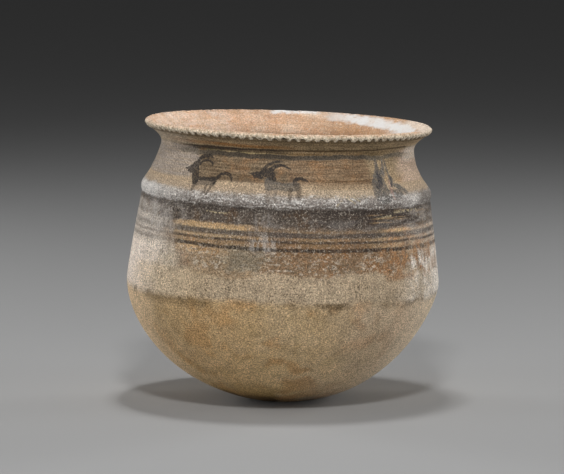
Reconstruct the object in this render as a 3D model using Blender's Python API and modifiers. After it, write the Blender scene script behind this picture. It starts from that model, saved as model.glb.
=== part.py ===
"""Painted pottery jar: a round bowl, a shoulder edge and a flared, notched rim.

Run it with Blender: blender --background --python part.py
Metres, +Z up. The origin is the middle of the small flat spot that the bowl
stands on. The jar is hollow and open, and leans a little toward +X.
"""

import math

import bmesh
import bpy
from mathutils import Matrix, Vector
from mathutils.geometry import interpolate_bezier

# Heights, each from the level below it, measured along the jar's own axis.
BOWL_HEIGHT = 0.0850
WALL_HEIGHT = 0.0628
NECK_HEIGHT = 0.0287
RIM_HEIGHT = 0.0162

# Radii: the belly, and how far each level stands in or out from the one below.
BELLY_RADIUS = 0.1075
SHOULDER_SET_IN = 0.0090
NECK_SET_IN = 0.0119
RIM_OVERHANG = 0.0114

# Thickness of the fired clay.
BASE_THICKNESS = 0.0080
WALL_THICKNESS = 0.0055
NECK_THICKNESS = 0.0045
LIP_THICKNESS = 0.0040

# The shoulder edge, the neck above it and the flare under the lip.
SHOULDER_ROUNDING = 0.0018
NECK_SLOPE = math.radians(30.0)
FLARE_SLOPE = math.radians(44.0)

# Small cuts pressed side by side into the lip's outer, lower edge.
NOTCH_COUNT = 96
NOTCH_WIDTH = 0.0024
NOTCH_DEPTH = 0.0011
NOTCH_ROOF = 0.0012
NOTCH_SLANT = math.radians(12.0)

# The jar stands on a small worn flat, its axis leans toward +X, and its
# hand-shaped bowl bulges toward -X halfway up.
REST_RADIUS = 0.0220
LEAN = math.radians(2.0)
BOWL_BULGE = 0.0021

# How full each curve is: its handle's length as a share of the stretch.
BASE_FULLNESS = 0.70
BELLY_FULLNESS = 0.28
WALL_FOOT_FULLNESS = 0.055
WALL_TOP_FULLNESS = 0.50
NECK_FULLNESS = 0.39
INNER_NECK_FULLNESS = 0.20
FLARE_FULLNESS = 0.335

# Straight pieces that stand for each round stretch of the outline.
BOWL_STEPS = 14
INNER_BOWL_STEPS = 9
WALL_STEPS = 3
EDGE_STEPS = 2
NECK_STEPS = 4
FLARE_STEPS = 3
LIP_STEPS = 5
TURN_STEPS = 72

# A cutter reaches this much past what it cuts.
CUT_MARGIN = 0.0015
MERGE_DISTANCE = 0.00001

CLAY_COLOUR = (0.28, 0.20, 0.12, 1.0)
CLAY_ROUGHNESS = 0.9

# Levels and radii that follow from the sizes above.
SHOULDER_RADIUS = BELLY_RADIUS - SHOULDER_SET_IN
SHOULDER_LEVEL = BOWL_HEIGHT + WALL_HEIGHT
NECK_RADIUS = SHOULDER_RADIUS - NECK_SET_IN
NECK_LEVEL = SHOULDER_LEVEL + NECK_HEIGHT
RIM_RADIUS = NECK_RADIUS + RIM_OVERHANG
RIM_LEVEL = NECK_LEVEL + RIM_HEIGHT
LIP_ROUNDING = LIP_THICKNESS / 2
LIP_CENTRE_RADIUS = RIM_RADIUS - LIP_ROUNDING
LIP_CENTRE_LEVEL = RIM_LEVEL - LIP_ROUNDING

# The radius of the bowl's curve where it crosses the axis, as its handles set
# it, and how much of the bowl the worn flat takes away.
BASE_ROUNDING = (
    1.5
    * (BASE_FULLNESS * BELLY_RADIUS) ** 2
    / ((1 - BELLY_FULLNESS) * BOWL_HEIGHT)
)
WORN_DEPTH = BASE_ROUNDING - math.sqrt(BASE_ROUNDING**2 - REST_RADIUS**2)


def at(radius, level):
    """Return the point of the jar's outline at this radius and level."""
    return Vector((radius, 0.0, level))


def stretch(start, start_handle, end_handle, end, steps):
    """Return a curved stretch of the outline without its first point."""
    return interpolate_bezier(start, start_handle, end_handle, end, steps + 1)[1:]


def bowl(belly, bottom, steps):
    """Return the bowl's curve, from its lowest point on the axis to the belly."""
    depth = belly.z - bottom.z
    bottom_handle = bottom + at(BASE_FULLNESS * belly.x, 0.0)
    belly_handle = belly - at(0.0, BELLY_FULLNESS * depth)
    return stretch(bottom, bottom_handle, belly_handle, belly, steps)


def wall(belly, shoulder, steps):
    """Return the nearly straight wall, from the belly up to the shoulder."""
    rise = shoulder.z - belly.z
    belly_handle = belly + at(0.0, WALL_FOOT_FULLNESS * rise)
    shoulder_handle = shoulder.lerp(belly_handle, WALL_TOP_FULLNESS)
    return stretch(belly, belly_handle, shoulder_handle, shoulder, steps)


def shoulder_edge(wall_direction, neck_direction):
    """Return the rounded shoulder edge, from its wall side to its neck side."""
    corner = at(SHOULDER_RADIUS, SHOULDER_LEVEL)
    below = corner - wall_direction * SHOULDER_ROUNDING
    above = corner + neck_direction * SHOULDER_ROUNDING
    return below, stretch(below, corner, corner, above, EDGE_STEPS)


def neck(start, direction, waist, fullness):
    """Return the neck's hollow curve, from the shoulder up to the waist."""
    reach = fullness * (waist - start).length
    return stretch(start, start + direction * reach, waist - at(0.0, reach), waist, NECK_STEPS)


def flare(waist, lip_side, direction):
    """Return the flare, from the neck's waist out to one side of the lip."""
    reach = FLARE_FULLNESS * (lip_side - waist).length
    return stretch(waist, waist + at(0.0, reach), lip_side - direction * reach, lip_side, FLARE_STEPS)


def lip():
    """Return the lip's half round, from its underside over to its inner side."""
    centre = at(LIP_CENTRE_RADIUS, LIP_CENTRE_LEVEL)
    points = []
    for step in range(LIP_STEPS + 1):
        angle = FLARE_SLOPE - math.pi / 2 + math.pi * step / LIP_STEPS
        points.append(centre + at(math.cos(angle), math.sin(angle)) * LIP_ROUNDING)
    return points


def outer_outline():
    """Return the outer side, from the lowest point up and over the lip."""
    belly = at(BELLY_RADIUS, BOWL_HEIGHT)
    waist = at(NECK_RADIUS, NECK_LEVEL)
    lip_points = lip()
    corner = at(SHOULDER_RADIUS, SHOULDER_LEVEL)
    wall_direction = (corner - belly).normalized()
    neck_direction = at(-math.sin(NECK_SLOPE), math.cos(NECK_SLOPE))
    flare_direction = at(math.cos(FLARE_SLOPE), math.sin(FLARE_SLOPE))
    edge_start, edge = shoulder_edge(wall_direction, neck_direction)
    return (
        [at(0.0, 0.0)]
        + bowl(belly, at(0.0, 0.0), BOWL_STEPS)
        + wall(belly, edge_start, WALL_STEPS)
        + edge
        + neck(edge[-1], neck_direction, waist, NECK_FULLNESS)
        + flare(waist, lip_points[0], flare_direction)
        + lip_points[1:]
    )


def inner_outline(lip_point):
    """Return the inner side, from the middle of the floor up to the lip."""
    floor = at(0.0, BASE_THICKNESS)
    belly = at(BELLY_RADIUS - WALL_THICKNESS, BOWL_HEIGHT)
    shoulder = at(SHOULDER_RADIUS - WALL_THICKNESS, SHOULDER_LEVEL)
    throat = at(NECK_RADIUS - NECK_THICKNESS, NECK_LEVEL)
    wall_direction = (shoulder - belly).normalized()
    flare_direction = at(math.cos(FLARE_SLOPE), math.sin(FLARE_SLOPE))
    return (
        [floor]
        + bowl(belly, floor, INNER_BOWL_STEPS)
        + wall(belly, shoulder, WALL_STEPS)
        + neck(shoulder, wall_direction, throat, INNER_NECK_FULLNESS)
        + flare(throat, lip_point, flare_direction)[:-1]
    )


def jar_outline():
    """Return the closed clay section: up the inside and down the outside."""
    outer = outer_outline()
    return inner_outline(outer[-1]) + outer[::-1]


def clay_material(name):
    """Return the matt fired clay that the jar is made of."""
    material = bpy.data.materials.new(name)
    material.use_nodes = True
    shader = material.node_tree.nodes["Principled BSDF"]
    shader.inputs["Base Color"].default_value = CLAY_COLOUR
    shader.inputs["Roughness"].default_value = CLAY_ROUGHNESS
    shader.inputs["Metallic"].default_value = 0.0
    return material


def new_object(name, mesh_data, collection):
    """Put a bmesh in the scene as a named object and return the object."""
    mesh = bpy.data.meshes.new(name)
    mesh_data.to_mesh(mesh)
    mesh_data.free()
    thing = bpy.data.objects.new(name, mesh)
    collection.objects.link(thing)
    return thing


def new_collection(name):
    """Return a new collection in the scene."""
    collection = bpy.data.collections.new(name)
    bpy.context.scene.collection.children.link(collection)
    return collection


def make_cutter(name, mesh_data, collection):
    """Return a helper object that only cuts others."""
    cutter = new_object(name, mesh_data, collection)
    cutter.display_type = "WIRE"
    cutter.hide_render = True
    return cutter


def cut(target, cutter):
    """Take the cutter's shape out of the target."""
    boolean = target.modifiers.new(cutter.name, "BOOLEAN")
    boolean.operation = "DIFFERENCE"
    boolean.solver = "EXACT"
    boolean.object = cutter


def place_on_rest(thing):
    """Lean a turned piece and set it so that its worn flat lies at height 0."""
    thing.rotation_euler = (0.0, LEAN, 0.0)
    thing.location = (
        -BASE_ROUNDING * math.sin(LEAN),
        0.0,
        BASE_ROUNDING * (1 - math.cos(LEAN)) - WORN_DEPTH,
    )


def turned_clay(collection):
    """Return the mesh made by turning the clay's section about the jar's axis."""
    section = bmesh.new()
    points = [section.verts.new(point) for point in jar_outline()]
    for first, second in zip(points, points[1:]):
        section.edges.new((first, second))
    outline = new_object("section", section, collection)
    turning = outline.modifiers.new("turning", "SCREW")
    turning.axis = "Z"
    turning.angle = math.tau
    turning.steps = TURN_STEPS
    turning.render_steps = TURN_STEPS
    turning.use_merge_vertices = True
    turning.merge_threshold = MERGE_DISTANCE
    turned = outline.evaluated_get(bpy.context.evaluated_depsgraph_get())
    clay = bmesh.new()
    clay.from_mesh(turned.to_mesh())
    bpy.data.objects.remove(outline, do_unlink=True)
    return clay


def bulge_bowl(clay):
    """Push the bowl's middle toward -X, inside and outside alike."""
    for vertex in clay.verts:
        share = min(max(vertex.co.z / BOWL_HEIGHT, 0.0), 1.0)
        vertex.co.x -= BOWL_BULGE * 4 * share * (1 - share)


def shaped_jar(collection):
    """Return the jar before its notches and worn flat are cut."""
    clay = turned_clay(collection)
    bulge_bowl(clay)
    jar = new_object("jar", clay, collection)
    jar.data.shade_smooth()
    jar.data.materials.append(clay_material("fired_clay"))
    place_on_rest(jar)
    return jar


def notch_cutter(collection):
    """Return the ring of small round-backed tools that press the notches."""
    tools = bmesh.new()
    top = LIP_CENTRE_LEVEL + LIP_ROUNDING - NOTCH_ROOF
    bottom = LIP_CENTRE_LEVEL - LIP_ROUNDING - CUT_MARGIN
    reach = RIM_RADIUS - NOTCH_DEPTH + NOTCH_WIDTH / 2
    slanted = Matrix.Rotation(NOTCH_SLANT, 4, "X")
    for index in range(NOTCH_COUNT):
        turn = Matrix.Rotation(math.tau * (index + 0.5) / NOTCH_COUNT, 4, "Z")
        place = Matrix.Translation(at(reach, (top + bottom) / 2))
        bmesh.ops.create_cone(
            tools,
            cap_ends=True,
            segments=6,
            radius1=NOTCH_WIDTH / 2,
            radius2=NOTCH_WIDTH / 2,
            depth=top - bottom,
            matrix=turn @ place @ slanted,
        )
    cutter = make_cutter("notch_tools", tools, collection)
    place_on_rest(cutter)
    return cutter


def rest_cutter(collection):
    """Return the block that wears the flat spot under the bowl."""
    block = bmesh.new()
    side = 4 * REST_RADIUS
    bmesh.ops.create_cube(block, size=side, matrix=Matrix.Translation((0.0, 0.0, -side / 2)))
    return make_cutter("worn_spot", block, collection)


def main():
    """Model the jar in an empty scene."""
    for thing in list(bpy.data.objects):
        bpy.data.objects.remove(thing, do_unlink=True)
    pieces = new_collection("painted_pottery_jar")
    cutters = new_collection("cutters")
    jar = shaped_jar(pieces)
    cut(jar, rest_cutter(cutters))
    cut(jar, notch_cutter(cutters))


main()
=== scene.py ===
"""Painted pottery jar, dressed for a plain studio.

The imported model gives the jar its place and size. Here the same jar is turned
finer, its rim is notched, its clay is worn and its painted surface is laid on,
and it stands on a plain pale floor in soft light. Metres, +Z up.
"""

import logging
import math
from collections.abc import Iterable, Iterator, Sequence
from dataclasses import dataclass, field
from enum import Enum
from functools import reduce
from itertools import chain

import bmesh
import bpy
from mathutils import Matrix, Vector, noise
from mathutils.geometry import interpolate_bezier


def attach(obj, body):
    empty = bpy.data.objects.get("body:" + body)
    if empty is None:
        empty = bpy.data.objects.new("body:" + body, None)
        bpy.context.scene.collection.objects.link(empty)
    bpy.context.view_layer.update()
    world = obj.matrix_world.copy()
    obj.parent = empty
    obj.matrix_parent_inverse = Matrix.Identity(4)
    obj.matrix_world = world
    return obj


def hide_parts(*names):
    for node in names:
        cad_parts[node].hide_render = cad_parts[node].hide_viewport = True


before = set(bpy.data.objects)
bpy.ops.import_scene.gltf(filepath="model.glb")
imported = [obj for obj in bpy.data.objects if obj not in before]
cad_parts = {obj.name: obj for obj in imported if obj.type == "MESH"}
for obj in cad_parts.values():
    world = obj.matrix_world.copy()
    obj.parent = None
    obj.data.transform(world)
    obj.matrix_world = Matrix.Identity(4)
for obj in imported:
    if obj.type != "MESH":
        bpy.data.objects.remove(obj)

LOG = logging.getLogger("painted_jar")
MILLIMETRE = 0.001
Colour = tuple[float, float, float, float]
Socket = bpy.types.NodeSocket
Pair = tuple[float, float]
Triple = tuple[float, float, float]
Row = tuple[float, Vector]
Layer = tuple[str, float, *tuple[Socket, ...]]
EVEN: Triple = (1.0, 1.0, 1.0)
LEVEL_STREAKS: Triple = (0.05, 0.05, 1.0)


def linear(hex_colour: str) -> Colour:
    """Turn an sRGB hex colour to linear light.

    Args:
        hex_colour: Six hex digits, such as "8e7b5f".

    Returns:
        Red, green, blue and a full alpha.
    """
    shares = [int(hex_colour[place : place + 2], 16) / 255 for place in (0, 2, 4)]
    red, green, blue = (
        share / 12.92 if share <= 0.04045 else ((share + 0.055) / 1.055) ** 2.4 for share in shares
    )
    return (red, green, blue, 1.0)


def eased(value: float, start: float, end: float) -> float:
    """Return 0 before start, 1 after end and a smooth rise between them."""
    share = min(max((value - start) / (end - start), 0.0), 1.0)
    return share * share * (3 - 2 * share)


@dataclass(frozen=True)
class JarShape:
    """Sizes of the fired clay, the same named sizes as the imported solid's."""

    bowl_height: float = 0.0850
    wall_height: float = 0.0628
    neck_height: float = 0.0287
    rim_height: float = 0.0162
    belly_radius: float = 0.1075
    shoulder_set_in: float = 0.0090
    neck_set_in: float = 0.0119
    rim_overhang: float = 0.0114
    base_thickness: float = 0.0080
    wall_thickness: float = 0.0055
    neck_thickness: float = 0.0045
    lip_thickness: float = 0.0040
    shoulder_rounding: float = 0.0018
    neck_slope: float = math.radians(30.0)
    flare_slope: float = math.radians(44.0)
    notch_count: int = 96
    rest_radius: float = 0.0220
    lean: float = math.radians(2.0)
    bowl_bulge: float = 0.0021
    base_fullness: float = 0.70
    belly_fullness: float = 0.28
    wall_foot_fullness: float = 0.055
    wall_top_fullness: float = 0.50
    neck_fullness: float = 0.39
    inner_neck_fullness: float = 0.20
    flare_fullness: float = 0.335
    curve_steps: int = 160

    @property
    def shoulder(self) -> Vector:
        """Return the shoulder's corner as radius and level."""
        radius = self.belly_radius - self.shoulder_set_in
        return Vector((radius, 0.0, self.bowl_height + self.wall_height))

    @property
    def waist(self) -> Vector:
        """Return the neck's narrowest place as radius and level."""
        return self.shoulder + Vector((-self.neck_set_in, 0.0, self.neck_height))

    @property
    def lip_centre(self) -> Vector:
        """Return the middle of the lip's round as radius and level."""
        half = self.lip_thickness / 2
        return self.waist + Vector((self.rim_overhang - half, 0.0, self.rim_height - half))

    @property
    def base_rounding(self) -> float:
        """Return the bowl's radius of curvature where it crosses the axis."""
        reach = self.base_fullness * self.belly_radius
        return 1.5 * reach**2 / ((1 - self.belly_fullness) * self.bowl_height)

    @property
    def place(self) -> Matrix:
        """Lean the jar on its worn flat.

        Returns:
            The turn and shift that do it.
        """
        rounding = self.base_rounding
        worn_depth = rounding - math.sqrt(rounding**2 - self.rest_radius**2)
        shift = (
            -rounding * math.sin(self.lean),
            0.0,
            rounding * (1 - math.cos(self.lean)) - worn_depth,
        )
        return Matrix.Translation(shift) @ Matrix.Rotation(self.lean, 4, "Y")

    def stretch(self, start: Vector, first: Vector, second: Vector, end: Vector) -> list[Vector]:
        """Return a curved stretch of the outline without its first point.

        Args:
            start: Where the stretch begins.
            first: The handle that leaves the start.
            second: The handle that comes to the end.
            end: Where the stretch ends.

        Returns:
            Points close together along the curve.
        """
        return interpolate_bezier(start, first, second, end, self.curve_steps + 1)[1:]

    def bowl(self, bottom: Vector, belly: Vector) -> list[Vector]:
        """Return the bowl's curve, from its lowest point to the belly.

        Args:
            bottom: The bowl's lowest point, on the axis.
            belly: The widest point.

        Returns:
            Points of the curve.
        """
        handle = bottom + Vector((self.base_fullness * belly.x, 0.0, 0.0))
        drop = Vector((0.0, 0.0, self.belly_fullness * (belly.z - bottom.z)))
        return self.stretch(bottom, handle, belly - drop, belly)

    def wall(self, belly: Vector, shoulder: Vector) -> list[Vector]:
        """Return the nearly straight wall, from the belly to the shoulder.

        Args:
            belly: The widest point.
            shoulder: Where the wall ends under the shoulder.

        Returns:
            Points of the curve.
        """
        foot = Vector((0.0, 0.0, self.wall_foot_fullness * (shoulder.z - belly.z)))
        handle = belly + foot
        above = shoulder.lerp(handle, self.wall_top_fullness)
        return self.stretch(belly, handle, above, shoulder)

    def neck(
        self, start: Vector, direction: Vector, waist: Vector, fullness: float
    ) -> list[Vector]:
        """Return the neck's hollow curve, from the shoulder to the waist.

        Args:
            start: Where the neck leaves the shoulder.
            direction: The way in which it leaves.
            waist: The neck's narrowest point.
            fullness: The handles' length as a share of the neck's.

        Returns:
            Points of the curve.
        """
        reach = fullness * (waist - start).length
        below = waist - Vector((0.0, 0.0, reach))
        return self.stretch(start, start + direction * reach, below, waist)

    def flare(self, waist: Vector, lip_side: Vector) -> list[Vector]:
        """Return the flare, from the waist to one side of the lip.

        Args:
            waist: The neck's narrowest point.
            lip_side: Where the lip's round takes over.

        Returns:
            Points of the curve.
        """
        direction = Vector((math.cos(self.flare_slope), 0.0, math.sin(self.flare_slope)))
        reach = self.flare_fullness * (lip_side - waist).length
        above = waist + Vector((0.0, 0.0, reach))
        return self.stretch(waist, above, lip_side - direction * reach, lip_side)

    def lip(self) -> list[Vector]:
        """Round the lip.

        Returns:
            Points of its half round, from its underside to its inner side.
        """
        points = []
        for step in range(self.curve_steps + 1):
            angle = self.flare_slope - math.pi / 2 + math.pi * step / self.curve_steps
            spoke = Vector((math.cos(angle), 0.0, math.sin(angle)))
            points.append(self.lip_centre + spoke * self.lip_thickness / 2)
        return points

    def outer_side(self) -> list[Vector]:
        """Join the curves of the outside.

        Returns:
            Points from the lowest one up and over the lip.
        """
        bottom = Vector((0.0, 0.0, 0.0))
        belly = Vector((self.belly_radius, 0.0, self.bowl_height))
        corner = self.shoulder
        rising = (corner - belly).normalized()
        leaving = Vector((-math.sin(self.neck_slope), 0.0, math.cos(self.neck_slope)))
        below = corner - rising * self.shoulder_rounding
        above = corner + leaving * self.shoulder_rounding
        lip = self.lip()
        return (
            [bottom]
            + self.bowl(bottom, belly)
            + self.wall(belly, below)
            + self.stretch(below, corner, corner, above)
            + self.neck(above, leaving, self.waist, self.neck_fullness)
            + self.flare(self.waist, lip[0])
            + lip[1:]
        )

    def inner_side(self) -> list[Vector]:
        """Join the curves of the inside.

        Returns:
            Points from the middle of the floor up to the lip.
        """
        floor = Vector((0.0, 0.0, self.base_thickness))
        belly = Vector((self.belly_radius - self.wall_thickness, 0.0, self.bowl_height))
        shoulder = self.shoulder - Vector((self.wall_thickness, 0.0, 0.0))
        throat = self.waist - Vector((self.neck_thickness, 0.0, 0.0))
        rising = (shoulder - belly).normalized()
        return (
            [floor]
            + self.bowl(floor, belly)
            + self.wall(belly, shoulder)
            + self.neck(shoulder, rising, throat, self.inner_neck_fullness)
            + self.flare(throat, self.lip()[-1])
        )


@dataclass(frozen=True)
class RimNotches:
    """Small cuts pressed side by side under the lip, in millimetres.

    No two are alike: each spread says by what share of itself a size changes.
    """

    half_width: float = 1.9
    top: float = 5.7
    bottom: float = 9.0
    depth: float = 0.9
    foot_fade: float = 0.9
    edge_inside: float = 0.75
    edge_outside: float = 0.1
    lump: float = 0.5
    lump_rise: Pair = (3.2, 5.0)
    lump_fall: Pair = (7.9, 9.0)
    slant: float = math.radians(8.0)
    sway: float = 0.7
    lift: float = 0.9
    width_spread: float = 0.35
    depth_spread: float = 0.5
    lump_spread: float = 0.9
    zone: Pair = (2.0, 10.4)

    def press(self, around: float, along: float, count: int, radius: float) -> tuple[float, float]:
        """Return how far the clay stands out here, and how much of a gap it is.

        Args:
            around: Angle about the jar's axis, from the front.
            along: Distance from the lip's inner edge over the outside, in mm.
            count: Number of notches in the whole rim.
            radius: The lip's radius in mm.

        Returns:
            The rise in mm, negative in a gap, and the gap's share from 0 to 1.
        """
        pitch = math.tau / count
        lean = math.tan(self.slant) * (along - self.top) / radius
        number = math.floor((around - lean) / pitch)
        seed = Vector((number % count * 3.7, 11.3, 5.9))
        shift, width, depth, lift = (noise.noise(seed + Vector((0, 0, 7.1 * k))) for k in range(4))
        aside = radius * (around - lean - (number + 0.5) * pitch) - self.sway * shift
        half_width = self.half_width * (1 + self.width_spread * width)
        top = self.top + self.lift * lift + half_width
        away = math.hypot(aside, min(along - top, 0.0))
        fade = 1 - eased(along, self.bottom - self.foot_fade, self.bottom)
        edge = eased(away, half_width - self.edge_inside, half_width + self.edge_outside)
        gap = fade * (1 - edge)
        rise = eased(along, *self.lump_rise) * (1 - eased(along, *self.lump_fall))
        lump = self.lump * rise * (1 + self.lump_spread * shift)
        return lump * (1 - gap) - self.depth * (1 + self.depth_spread * depth) * gap, gap


@dataclass(frozen=True)
class MakersHand:
    """How the maker's hand left the outside out of true, in millimetres."""

    ridge: float = 1.3
    ridge_level: float = 147.8
    ridge_above: float = 11.0
    ridge_below: float = 6.5
    neck: float = 1.05
    neck_left: float = 0.65
    neck_rise: Pair = (148.0, 163.0)
    neck_fall: Pair = (166.0, 181.0)
    groove: float = 0.4
    groove_level: float = 143.0
    groove_reach: Pair = (0.3, 1.5)

    def swell(self, around: float, level: float) -> float:
        """Return how far the outside stands out at one place.

        Args:
            around: Angle about the jar's axis, from the front.
            level: Height along the jar's axis.

        Returns:
            The rise in mm, negative in the groove under the shoulder.
        """
        ridge = eased(level, self.ridge_level - self.ridge_below, self.ridge_level)
        ridge -= eased(level, self.ridge_level, self.ridge_level + self.ridge_above)
        neck = eased(level, *self.neck_rise) - eased(level, *self.neck_fall)
        neck *= self.neck - self.neck_left * math.sin(around)
        groove = 1 - eased(abs(level - self.groove_level), *self.groove_reach)
        return self.ridge * ridge + neck - self.groove * groove


@dataclass(frozen=True)
class WornClay:
    """How far wear and the maker's hand leave the clay uneven, in millimetres.

    A patch or spacing is the size of the marks of one kind. A rise or fall says
    where they begin or end, and a reach how far they go from their middle.
    """

    hand_unevenness: float = 0.45
    hand_patch: float = 34.0
    hand_rise: Pair = (6.0, 30.0)
    turning_marks: float = 0.06
    turning_spacing: float = 2.6
    turning_wander: float = 60.0
    turning_rise: Pair = (6.0, 16.0)
    grit: float = 0.22
    coarse_grit: float = 3.1
    fine_grit: float = 1.9
    fine_share: float = 0.6
    grit_rise: Pair = (76.0, 84.0)
    grit_fall: Pair = (140.0, 152.0)
    grit_elsewhere: float = 0.25
    shoulder_wear: float = 0.55
    shoulder_level: float = 147.8
    shoulder_patch: float = 7.5
    shoulder_reach: Pair = (1.0, 4.0)
    lip_wear: float = 0.50
    lip_middle: float = 2.0
    lip_patch: float = 4.3
    lip_reach: Pair = (1.5, 4.0)

    def depth(self, point: Vector, along: float, level: float) -> float:
        """Return how far the surface is worn back at one place.

        Args:
            point: The place in the jar's own frame, in mm.
            along: Distance from the lip's inner edge, negative inside.
            level: Height along the jar's axis.

        Returns:
            The depth in mm, never negative.
        """
        broad = 0.5 + 0.5 * noise.noise(point / self.hand_patch)
        worn = self.hand_unevenness * broad * eased(abs(along), *self.hand_rise)
        wander = point / self.turning_wander
        ridges = noise.noise(Vector((wander.x, wander.y, level / self.turning_spacing)))
        worn += self.turning_marks * (1 + ridges) * eased(abs(along), *self.turning_rise)
        if along < 0:
            return worn
        rough = max(noise.noise(point / self.coarse_grit), 0.0)
        rough += self.fine_share * max(noise.noise(point / self.fine_grit), 0.0)
        zone = eased(level, *self.grit_rise) * (1 - eased(level, *self.grit_fall))
        worn += self.grit * rough * (self.grit_elsewhere + (1 - self.grit_elsewhere) * zone)
        edge = 1 - eased(abs(level - self.shoulder_level), *self.shoulder_reach)
        patch = max(noise.noise(point / self.shoulder_patch) + 0.1, 0.0)
        worn += self.shoulder_wear * edge * patch
        lip = 1 - eased(abs(along - self.lip_middle), *self.lip_reach)
        patch = max(noise.noise(point / self.lip_patch) + 0.2, 0.1)
        return worn + self.lip_wear * lip * patch


@dataclass
class TurnedJar:
    """The whole jar: its turned clay, notched rim, wear and painted surface.

    Rows of the mesh lie as far apart as a spacing says, up to its distance from
    the lip. All distances along the clay are in mm and negative inside.
    """

    shape: JarShape = field(default_factory=JarShape)
    notches: RimNotches = field(default_factory=RimNotches)
    hand: MakersHand = field(default_factory=MakersHand)
    wear: WornClay = field(default_factory=WornClay)
    outer_spacing: tuple[Pair, ...] = ((10.5, 0.5), (112.0, 1.6), (999.0, 3.4))
    inner_spacing: tuple[Pair, ...] = ((4.0, 0.7), (32.0, 1.8), (999.0, 9.0))
    least_row: float = 0.5
    same_place: float = 0.01
    turn_steps: int = 288
    finer_zones: tuple[Pair, ...] = ((-2.5, 112.0), (-2.5, 10.6))

    def rows(self, points: Sequence[Vector], spacing: Iterable[Pair]) -> list[Row]:
        """Place the rows of the mesh along one side of the clay.

        Args:
            points: The side's outline, ending at the lip.
            spacing: How far apart rows are, in mm, up to each distance.

        Returns:
            Pairs of distance from the lip in mm and point, from the lip down.
        """
        outline = list(reversed(points))
        reached = [0.0]
        for first, second in zip(outline, outline[1:]):
            reached.append(reached[-1] + (second - first).length / MILLIMETRE)
        rows = []
        distance = 0.0
        index = 0
        while distance < reached[-1] - self.least_row:
            while reached[index + 1] < distance:
                index += 1
            share = (distance - reached[index]) / (reached[index + 1] - reached[index])
            rows.append((distance, outline[index].lerp(outline[index + 1], share)))
            distance += next(step for limit, step in spacing if distance < limit)
        rows.append((reached[-1], outline[-1]))
        return rows

    def section(self) -> bmesh.types.BMesh:
        """Draw the section through the clay, from the floor over the lip to the bowl.

        Returns:
            A line of edges, each point with its distance from the lip and its
            radius noted.
        """
        clay = bmesh.new()
        along = clay.verts.layers.float.new("along")
        radius = clay.verts.layers.float.new("radius")
        inside = self.rows(self.shape.inner_side(), self.inner_spacing)
        outside = self.rows(self.shape.outer_side(), self.outer_spacing)
        line = [(-distance, point) for distance, point in reversed(inside[1:])] + outside
        previous = None
        for distance, point in line:
            corner = clay.verts.new(point)
            corner[along] = distance
            corner[radius] = point.x
            if previous:
                clay.edges.new((previous, corner))
            previous = corner
        return clay

    def turned(self) -> bmesh.types.BMesh:
        """Turn the section about the jar's axis.

        Returns:
            The closed clay, finer at the wall and finest at the lip.
        """
        clay = self.section()
        bmesh.ops.spin(
            clay,
            geom=clay.verts[:] + clay.edges[:],
            cent=(0.0, 0.0, 0.0),
            axis=(0.0, 0.0, 1.0),
            angle=math.tau,
            steps=self.turn_steps,
            use_merge=True,
        )
        bmesh.ops.remove_doubles(clay, verts=clay.verts[:], dist=self.same_place * MILLIMETRE)
        for start, end in self.finer_zones:
            self.split_rings(clay, start, end)
        bmesh.ops.recalc_face_normals(clay, faces=clay.faces[:])
        return clay

    def split_rings(self, clay: bmesh.types.BMesh, start: float, end: float) -> None:
        """Halve the edges that run round the jar between two distances.

        Args:
            clay: The turned mesh.
            start: The least distance from the lip in mm, negative inside.
            end: The greatest distance.
        """
        along = clay.verts.layers.float["along"]
        radius = clay.verts.layers.float["radius"]
        rings = [
            edge
            for edge in clay.edges
            if abs(edge.verts[0][along] - edge.verts[1][along]) < self.same_place
            and start <= edge.verts[0][along] <= end
        ]
        bmesh.ops.subdivide_edges(clay, edges=rings, cuts=1, use_grid_fill=True)
        for corner in clay.verts:
            if start <= corner[along] <= end:
                flat = Vector((corner.co.x, corner.co.y)).normalized() * corner[radius]
                corner.co.x, corner.co.y = flat

    def shape_surface(self, clay: bmesh.types.BMesh) -> None:
        """Press the notches, wear the clay, bulge the bowl and set it down.

        Args:
            clay: The turned mesh, upright on its axis.
        """
        along = clay.verts.layers.float["along"]
        gap_layer = clay.verts.layers.float.new("gap")
        lip_radius = (self.shape.lip_centre.x + self.shape.lip_thickness / 2) / MILLIMETRE
        notched_from, notched_to = self.notches.zone
        clay.normal_update()
        for corner in clay.verts:
            distance = corner[along]
            point = corner.co / MILLIMETRE
            around = math.atan2(point.x, -point.y)
            out = -self.wear.depth(point, distance, point.z)
            if distance > 0:
                out += self.hand.swell(around, point.z)
            if notched_from < distance < notched_to:
                count = self.shape.notch_count
                rise, corner[gap_layer] = self.notches.press(around, distance, count, lip_radius)
                out += rise
            corner.co += corner.normal * out * MILLIMETRE
        for corner in clay.verts:
            share = min(max(corner.co.z / self.shape.bowl_height, 0.0), 1.0)
            corner.co.x -= self.shape.bowl_bulge * 4 * share * (1 - share)
        bmesh.ops.transform(clay, matrix=self.shape.place, verts=clay.verts[:])
        for corner in clay.verts:
            corner.co.z = max(corner.co.z, 0.0)

    def build(self) -> bpy.types.Object:
        """Turn, shape and dress the jar.

        Returns:
            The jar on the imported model's body, in place of its plain solid.
        """
        clay = self.turned()
        self.shape_surface(clay)
        mesh = bpy.data.meshes.new("jar_clay")
        clay.to_mesh(mesh)
        clay.free()
        mesh.shade_smooth()
        jar = bpy.data.objects.new("jar_clay", mesh)
        bpy.context.scene.collection.objects.link(jar)
        mesh.materials.append(PaintedEarthenware(self.shape).material())
        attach(jar, "root")
        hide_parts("jar")
        return jar


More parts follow.
